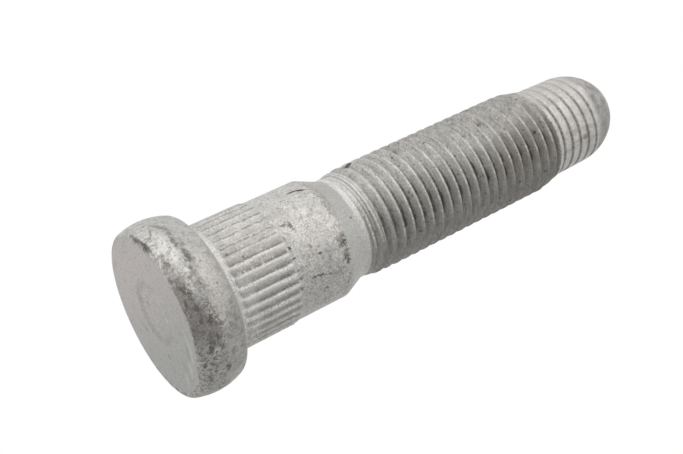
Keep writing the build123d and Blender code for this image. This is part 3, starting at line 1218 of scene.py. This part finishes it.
        # Painted shade: the turned chamfer is darker towards the upper side
        coat.tint(turned, sheet.blend(low_side.span(-0.8, 0.1), self.smooth_shaded_top, self.smooth))
        edged = (border - 22.24).math("ABSOLUTE").fade(0.04, 0.2) * low_side.span(-0.1, 0.2, 0.55, 0.0)
        coat.tint(edged * coat.blotches(0.8, 0.46, 0.1), self.stain, 0.4)
        coat.level = sheet.mix(turned, coat.level, coat.lines(coat.height, 0.16) * 0.3 + 0.5)
        upper = low_side.fade(0.1, 0.45)
        chipped = coat.stretch(21.75, 22.45, 0.15) * coat.blotches(0.35, 0.54, 0.08) * upper
        coat.tint(chipped * 0.7, self.stain, 0.4)
        spilt = coat.stretch(22.3, 22.8, 0.15) * coat.blotches(0.42, 0.55, 0.08) * upper
        coat.tint(spilt * 0.8, self.scuff)
        return turned

    def material(self, effects: Effects) -> bpy.types.Material:
        """Build the shank's material."""
        coat = Coat(effects, "shank_coating")
        low_side = coat.low_side
        cloud = coat.mottle(1.3, 2.2)
        coat.tone = coat.sheet.blend(cloud, self.grey, self.pale)
        coat.level = cloud
        self.paint_grooves(coat)
        # Painted highlight: a pale ring round the collar above the fillet under the head
        coat.tint(coat.stretch(6.95, 7.7, 0.2) * 0.7, self.crest)
        coat.tint(coat.stretch(7.8, 9.4, 0.5) * low_side.span(-0.1, 0.2) * 0.35, self.crest)
        self.paint_shoulder(coat)
        turned = self.paint_chamfer(coat)
        coat.neck_ring(self.neck)
        coat.add_patches(self.patches(), self.radius)
        sandy = coat.sheet.noise(coat.middle, 0.4, 2.0, 0.5).span(0.35, 0.65, 0.7, 2.2)
        sandy = sandy * low_side.span(-0.5, -0.1, 0.85, 1.0)
        return coat.finish(0.06, coat.sheet.mix(turned, sandy, 1.1))


@dataclass(frozen=True)
class ThreadFinish:
    """Coating of the thread and the pilot: painted shade and dirt in the grooves, and crests made bright by
    wear and painted highlight.
    """

    flank: Colour = colour(197, 195, 191)
    flank_dark: Colour = colour(165, 163, 159)
    # Dark tone: painted shade on the lower side, and the colour of the fine lines and blotches
    low_side: Colour = colour(131, 128, 123)
    # Pale colour of the crests: painted highlight, partly wear, also used for the fine lines at the run-out
    crest: Colour = colour(216, 214, 209)
    crest_low_shade: Colour = colour(104, 101, 97)
    # Dark colour of the roots: painted shade and dirt, also used for the fine lines at the run-out
    root: Colour = colour(74, 71, 67)
    # Pale colour of the painted highlights round the neck and where the thread starts
    neck: Colour = colour(214, 213, 210)
    neck_low: Colour = colour(197, 196, 192)
    neck_shaded_top: Colour = colour(179, 178, 174)
    brown: Colour = colour(118, 112, 105)
    pilot: Colour = colour(226, 223, 218)
    pilot_grey: Colour = colour(198, 195, 191)
    pilot_shaded_top: Colour = colour(184, 180, 178)
    # Dark colour of the painted shade and dirt in the pilot's grooves
    pilot_root: Colour = colour(92, 87, 81)
    nose: Colour = colour(192, 190, 188)
    nose_brown: Colour = colour(138, 133, 128)
    dirt: Colour = colour(66, 63, 60)
    radius: float = 6.6

    def patches(self) -> list[Patch]:
        """Dark streaks and dings in the thread, as the photo shows them."""
        dirt = self.dirt
        return patches_of(
            (-80.0, 30.1, 0.6, 0.35, dirt, 0.9, 0.0, 0.3), (-71.0, 28.95, 0.5, 0.2, dirt, 0.7, 0.0, 0.3),
            (-58.5, 36.0, 0.45, 0.35, dirt, 0.4, 0.0, 0.3, 0.7),
            (-40.0, 48.05, 0.3, 0.22, dirt, 0.55, 0.0, 0.3, 0.6),
            (-40.5, 53.15, 0.3, 0.22, dirt, 0.55, 0.0, 0.3, 0.6),
            (-20.5, 50.0, 0.22, 0.12, dirt, 0.7, 0.0, 0.2, 0.6),
            (-2.5, 54.25, 0.24, 0.09, dirt, 0.85, 0.0, 0.15, 0.6),
            (-32.0, 56.1, 1.9, 0.9, self.brown, 0.35, 0.0, 0.5, 0.7, 0.1),
            (1.5, 43.44, 0.6, 0.2, dirt, 0.8, 2.0, 0.18), (20.0, 37.48, 1.0, 0.18, dirt, 0.8, 2.0, 0.18),
            (18.5, 45.0, 0.95, 0.22, dirt, 0.95, 2.0, 0.18), (24.5, 48.02, 0.8, 0.2, dirt, 0.95, 2.0, 0.18),
            (13.0, 50.95, 0.6, 0.2, dirt, 0.8, 2.0, 0.18), (20.0, 52.48, 0.7, 0.24, dirt, 0.95, 2.0, 0.18),
            (34.0, 52.5, 1.0, 0.18, dirt, 0.9, 2.0, 0.18), (36.5, 46.5, 0.5, 0.22, dirt, 0.8, 2.0, 0.18),
            (48.0, 54.6, 0.26, 0.1, dirt, 0.65, 0.0, 0.15, 0.6),
            (28.0, 62.5, 0.36, 0.75, self.brown, 0.65, 8.0, 0.5, 0.7),
            (-8.5, 66.1, 0.7, 0.45, self.nose_brown, 0.7, 0.0, 0.5, 0.7, 0.1),
            (30.0, 67.0, 1.1, 0.7, self.nose_brown, 0.5, 0.0, 0.6, 0.7, 0.1),
            (-26.0, 65.3, 0.5, 0.3, self.pilot, 0.6, 0.0, 0.4, 0.7, 0.0),
        )

    def lap(self, coat: Coat) -> Field:
        """Share of one pitch from the middle of a groove, towards the nose."""
        thread = Thread()
        climb = (coat.height - thread.root_height) * (1 / thread.pitch)
        return (climb - coat.turn * (1 / math.tau)).math("FRACT")

    def paint_thread(self, coat: Coat) -> None:
        """Colour the flanks, the crests and the grooves."""
        sheet = coat.sheet
        low_side = coat.low_side
        rise = coat.rise
        cloud = coat.mottle(1.1, 2.4)
        coat.tone = sheet.blend(cloud, self.flank_dark, self.flank)
        coat.level = cloud
        # Painted shade, partly a dirtier tone: the thread turns darker from the middle round to the lower
        # side
        coat.tint(low_side.span(-0.5, 0.4) * low_side.span(0.3, 0.6, 0.64, 0.5), self.low_side)
        soiled = low_side.span(-0.6, -0.1, 0.06, 0.5) * low_side.span(0.2, 0.6, 1.0, 0.3)
        coat.tint(coat.stretch(48.0, 58.5, 4.0) * soiled, self.brown)
        coat.tint(coat.lines(coat.height, 0.13).span(0.5, 0.62) * 0.4, self.low_side, 0.3)
        coat.tint(coat.blotches(0.35, 0.58) * 0.35, self.low_side, 0.3)
        coat.tint(coat.blotches(0.5, 0.62) * 0.4, self.brown, 0.4)
        # The painted highlight on the crests and the painted shade in the roots reach less far round the stud
        # towards the nose
        later = coat.height.ramp(36.0, 48.0)
        upper_end = later * -0.3 + low_side
        lower_end = later * 0.25 + low_side
        dashes = sheet.noise(coat.middle, 0.75, 2.0, 0.5)
        # Painted highlight along the crests, partly wear: broken into dashes and fading out towards the upper
        # and lower sides
        shown = upper_end.span(-0.95, -0.45) * lower_end.fade(0.4, 0.75)
        crest_highlight = coat.jitter.ramp(-0.12, 0.12, 0.35, 1.0) * dashes.span(0.38, 0.58, 0.35, 1.1)
        coat.tint(rise.span(0.86, 0.98) * crest_highlight * shown * 0.8, self.crest)
        # Painted highlight on the crests of the first turns, on the upper and near sides
        first = coat.stretch(27.6, 34.0, 2.0) * low_side.fade(-0.1, 0.35)
        coat.tint(rise.span(0.5, 0.95) * first * 0.3, self.crest)
        # Painted shade: the crests are darkened on the lower side
        coat.tint(rise.span(0.7, 0.97) * low_side.span(0.5, 0.8) * 0.4, self.crest_low_shade)
        # Painted light: the colour is lightened by up to a fifth towards the bottoms of the grooves
        coat.tone = sheet.scaled(coat.tone, rise.ramp(0.05, 0.8, 1.2, 1.0))
        # Painted shade and dirt: a broken dark line in each root, weaker on the first turns, strongest round
        # the middle
        begun = coat.height.ramp(27.0, 32.0, 0.45, 1.0)
        grime = coat.jitter.ramp(-0.15, 0.1, 0.6, 1.0)
        most = upper_end.span(-0.8, -0.1, 0.1, 1.0) * low_side.span(0.4, 0.8, 1.0, 0.3)
        coat.tint(rise.fade(0.02, 0.16) * grime * most * begun, self.root)
        # Dirt and painted shade: darker roots a little below the middle, broken into dashes
        root_dirt_and_shade = low_side.span(-0.1, 0.15) * lower_end.span(0.45, 0.75, 0.75, 0.0) * dashes.fade(0.42, 0.56)
        coat.tint(rise.fade(0.05, 0.35) * root_dirt_and_shade * begun, self.dirt)
        spotted = coat.stretch(43.0, 58.0, 3.0) * low_side.fade(-0.5, -0.2)
        coat.tint(coat.blotches(0.6, 0.55, 0.1) * spotted * 0.4, self.brown)
        coat.tint(coat.speckle(0.7, 0.28, 0.35) * 0.6, self.dirt, 0.5)

    def paint_runout(self, coat: Coat) -> None:
        """Lay a painted highlight on the upper side where the thread starts at the neck, and draw the fine
        lines that the roll leaves there.
        """
        lap = self.lap(coat)
        start = coat.stretch(26.0, 27.6, 0.25) * coat.low_side.fade(0.2, 0.6) * 0.35
        # Painted highlight on the upper side where the thread starts at the neck
        bright = coat.low_side.span(-0.6, -0.1, 0.5, 0.0)
        coat.tint(coat.stretch(26.0, 27.9, 0.4) * bright, self.neck)
        for phase, shade in ((0.05, self.crest), (0.17, self.root), (0.3, self.crest), (0.4, self.root)):
            coat.tint((lap - phase).math("ABSOLUTE").fade(0.02, 0.07) * start, shade)

    def paint_pilot(self, coat: Coat) -> None:
        """Colour the pilot beyond the border of the dark thread, and the mottled nose."""
        sheet = coat.sheet
        low_side = coat.low_side
        lap = self.lap(coat)
        band = sheet.blend(coat.mottle(1.6, 2.4), self.pilot_grey, self.pilot)
        # Painted shade: each band between the grooves turns greyer towards the nose side
        band = sheet.blend(lap.span(0.35, 0.9) * 0.6, band, self.pilot_grey)
        drawn = sheet.vector("MULTIPLY", coat.middle, (1.0, 1.0, 0.3))
        streaks = sheet.noise(drawn, 0.8, 3.0, 0.6)
        band = sheet.blend(streaks.span(0.5, 0.68) * 0.35, band, self.nose_brown)
        # Painted shade: the pilot is darker towards the upper side
        band = sheet.blend(low_side.span(-0.7, -0.2, 0.55, 0.0), band, self.pilot_shaded_top)
        # Painted shade and dirt: dark lines in the pilot's grooves, weaker on the upper side
        grime = coat.jitter.ramp(-0.15, 0.1, 0.5, 1.0) * low_side.span(-0.75, -0.3, 0.35, 1.0)
        grooved = lap.math("PINGPONG", 0.5).fade(0.05, 0.24) * grime * 0.95
        band = sheet.blend(grooved, band, self.pilot_root)
        nose = sheet.blend(coat.mottle(1.2, 3.0), self.nose_brown, self.nose)
        end = sheet.blend(coat.height.span(64.6, 66.2), band, nose)
        border = coat.jitter * 0.8 + (coat.height - low_side * 0.27)
        coat.tint(border.span(56.0, 56.6) * low_side.span(-0.55, -0.15) * 0.5, self.brown)
        coat.tint(border.span(57.25, 57.55), end)

    def material(self, effects: Effects) -> bpy.types.Material:
        """Build the thread's material."""
        coat = Coat(effects, "thread_coating")
        self.paint_thread(coat)
        self.paint_pilot(coat)
        # Painted shade: the plain neck is darker towards the upper side
        smooth = coat.sheet.blend(coat.low_side.span(-0.8, 0.1), self.neck_shaded_top, self.neck_low)
        coat.tint(coat.height.fade(25.75, 26.1), smooth)
        self.paint_runout(coat)
        coat.neck_ring(self.neck)
        coat.add_patches(self.patches(), self.radius)
        return coat.finish(0.05, coat.height.ramp(52.0, 57.0, 1.4, 1.0))


@dataclass
class WheelStud:
    """The whole stud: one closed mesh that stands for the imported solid."""

    head: Head = field(default_factory=Head)
    shank: Shank = field(default_factory=Shank)
    thread: Thread = field(default_factory=Thread)

    def build(self) -> bpy.types.Object:
        """Make the turned blank as one closed mesh."""
        lathe = LatheMesh()
        lathe.last = [lathe.point(0.0, 0.0, 0.0)]
        for ring in self.head.rings() + self.shank.rings():
            lathe.ring(ring)
        lathe.ring(Ring(self.thread.neck_radius, self.thread.zone_start, self.thread.columns))
        self.thread.add_rows(lathe)
        lathe.last = []
        for ring in self.thread.nose_rings():
            lathe.ring(ring)
        tip = lathe.point(0.0, self.thread.nose()[-1][1], 0.0)
        lathe.join(lathe.last, [tip])
        piece = bpy.data.objects.new("stud_body", lathe.mesh("stud_body"))
        bpy.context.scene.collection.objects.link(piece)
        return piece

    def dress(self, piece: bpy.types.Object) -> None:
        """Roll the forms into the blank, give it its finishes and let it stand for the solid."""
        effects = Effects()
        finishes = {
            Stretch.HEAD: HeadFinish().material(effects),
            Stretch.SHANK: ShankFinish().material(effects),
            Stretch.THREAD: ThreadFinish().material(effects),
        }
        RollingTree().apply(piece, RollingTree.sizes(self.head, self.shank, self.thread), finishes)
        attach(piece, "root")
        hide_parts(NODE)


@dataclass(frozen=True)
class PhotoCamera:
    """Camera at the photo's viewing angle."""

    lens: float = 60.66
    sensor: float = 36.0
    distance: float = 141.66
    # Angle between the stud's axis and the viewing direction
    axis_angle: float = 62.883
    aim_height: float = 26.315
    side_step: float = 0.066
    # Slope of the axis across the picture
    picture_slope: float = 25.663
    # Nearest and farthest distance that the camera sees, in metres
    clip: tuple[float, float] = (0.005, 10.0)

    def build(self) -> None:
        """Place the camera and make it the scene's own."""
        axis = Vector((0.0, 0.0, 1.0))
        near = Vector((math.cos(NEAR_TURN), math.sin(NEAR_TURN), 0.0))
        side = axis.cross(near)
        angle = math.radians(self.axis_angle)
        forward = axis * math.cos(angle) - near * math.sin(angle)
        along = axis * math.sin(angle) + near * math.cos(angle)
        slope = math.radians(self.picture_slope)
        right = along * math.cos(slope) + side * math.sin(slope)
        up = along * math.sin(slope) - side * math.cos(slope)
        data = bpy.data.cameras.new("photo_camera")
        data.lens = self.lens
        data.sensor_width = self.sensor
        data.clip_start, data.clip_end = self.clip
        camera = bpy.data.objects.new("photo_camera", data)
        place = axis * self.aim_height - side * self.side_step - forward * self.distance
        turn = Matrix((right, up, -forward)).transposed()
        camera.matrix_world = Matrix.Translation(place * MM) @ turn.to_4x4()
        bpy.context.scene.collection.objects.link(camera)
        bpy.context.scene.camera = camera


@dataclass(frozen=True)
class Lamp:
    """Soft studio lamp that points at the middle of the stud."""

    name: str
    direction: tuple[float, float, float]
    size: float
    power: float
    reach: float = 0.6
    aim_height: float = 0.035

    def build(self) -> None:
        """Hang the lamp."""
        data = bpy.data.lights.new(self.name, "AREA")
        data.shape = "DISK"
        data.size = self.size
        data.energy = self.power
        lamp = bpy.data.objects.new(self.name, data)
        way = Vector(self.direction).normalized()
        lamp.location = Vector((0.0, 0.0, self.aim_height)) + way * self.reach
        lamp.rotation_mode = "QUATERNION"
        lamp.rotation_quaternion = way.to_track_quat("Z", "Y")
        bpy.context.scene.collection.objects.link(lamp)


@dataclass(frozen=True)
class Stage:
    """Plain pale floor, white surroundings and soft lamps."""

    floor_size: float = 3.0
    floor_level: float = -0.02 * MM
    floor_tone: Colour = (0.9, 0.9, 0.9, 1.0)
    # Share of plain white in the floor's look near the stud, and where it begins and ends turning white
    paleness: float = 0.45
    near_radius: float = 0.03
    fade_radius: float = 0.4
    # Strength of the even light from the surroundings
    fill: float = 0.42
    lamps: tuple[Lamp, ...] = (
        Lamp("key_lamp", (-0.64, -0.74, 0.16), 0.5, 1.5),
        Lamp("low_lamp", (-0.5, -0.5, -0.7), 0.5, 1.2),
    )

    def build(self) -> None:
        """Set up the world, the floor and the lamps."""
        bpy.context.scene.view_settings.view_transform = "Standard"
        self.surroundings()
        self.floor()
        for lamp in self.lamps:
            lamp.build()
            log.info("lamp %s", lamp.name)

    def surroundings(self) -> None:
        """White to the camera and in reflections, and a soft even light on surfaces."""
        world = bpy.data.worlds.new("studio")
        bpy.context.scene.world = world
        world.use_nodes = True
        sheet = NodeSheet(world.node_tree)
        back = world.node_tree.nodes["Background"].inputs
        back["Color"].default_value = WHITE
        rays = sheet.outs("ShaderNodeLightPath")
        seen = rays["Is Glossy Ray"].math("MAXIMUM", rays["Is Transmission Ray"])
        seen = rays["Is Camera Ray"].math("MAXIMUM", seen)
        sheet.feed(back["Strength"], seen.ramp(0.0, 1.0, self.fill, 1.0))

    def floor(self) -> None:
        """Pale floor under the head: seen from above only, so the camera below it sees the stud."""
        half = self.floor_size / 2
        level = self.floor_level
        mesh = bpy.data.meshes.new("floor")
        corners = [(-half, -half, level), (half, -half, level), (half, half, level), (-half, half, level)]
        mesh.from_pydata(corners, [], [(0, 1, 2, 3)])
        floor = bpy.data.objects.new("floor", mesh)
        bpy.context.scene.collection.objects.link(floor)
        made = bpy.data.materials.new("pale_floor")
        made.use_nodes = True
        sheet = NodeSheet(made.node_tree)
        made.node_tree.nodes.remove(made.node_tree.nodes["Principled BSDF"])
        matt = sheet.out("ShaderNodeBsdfDiffuse", {"Color": self.floor_tone})
        white = sheet.out("ShaderNodeEmission", {"Color": WHITE})
        away = sheet.length(sheet.out("ShaderNodeTexCoord", output="Object"))
        share = away.span(self.near_radius, self.fade_radius, self.paleness, 1.0)
        top = sheet.out("ShaderNodeMixShader", {0: share, 1: matt, 2: white})
        clear = sheet.out("ShaderNodeBsdfTransparent")
        under = sheet.out("ShaderNodeNewGeometry", output="Backfacing")
        hidden = under.math("MAXIMUM", 1.0 - sheet.out("ShaderNodeLightPath", output="Is Camera Ray"))
        pick = sheet.out("ShaderNodeMixShader", {0: hidden, 1: top, 2: clear})
        sheet.feed(made.node_tree.nodes["Material Output"].inputs["Surface"], pick)
        mesh.materials.append(made)


def main() -> None:
    """Build the camera, the stud and the stage in order."""
    logging.basicConfig(level=logging.INFO)
    PhotoCamera().build()
    stud = WheelStud()
    piece = stud.build()
    stud.dress(piece)
    log.info("piece %s: %d faces", piece.name, len(piece.data.polygons))
    Stage().build()


if __name__ == "__main__":
    main()
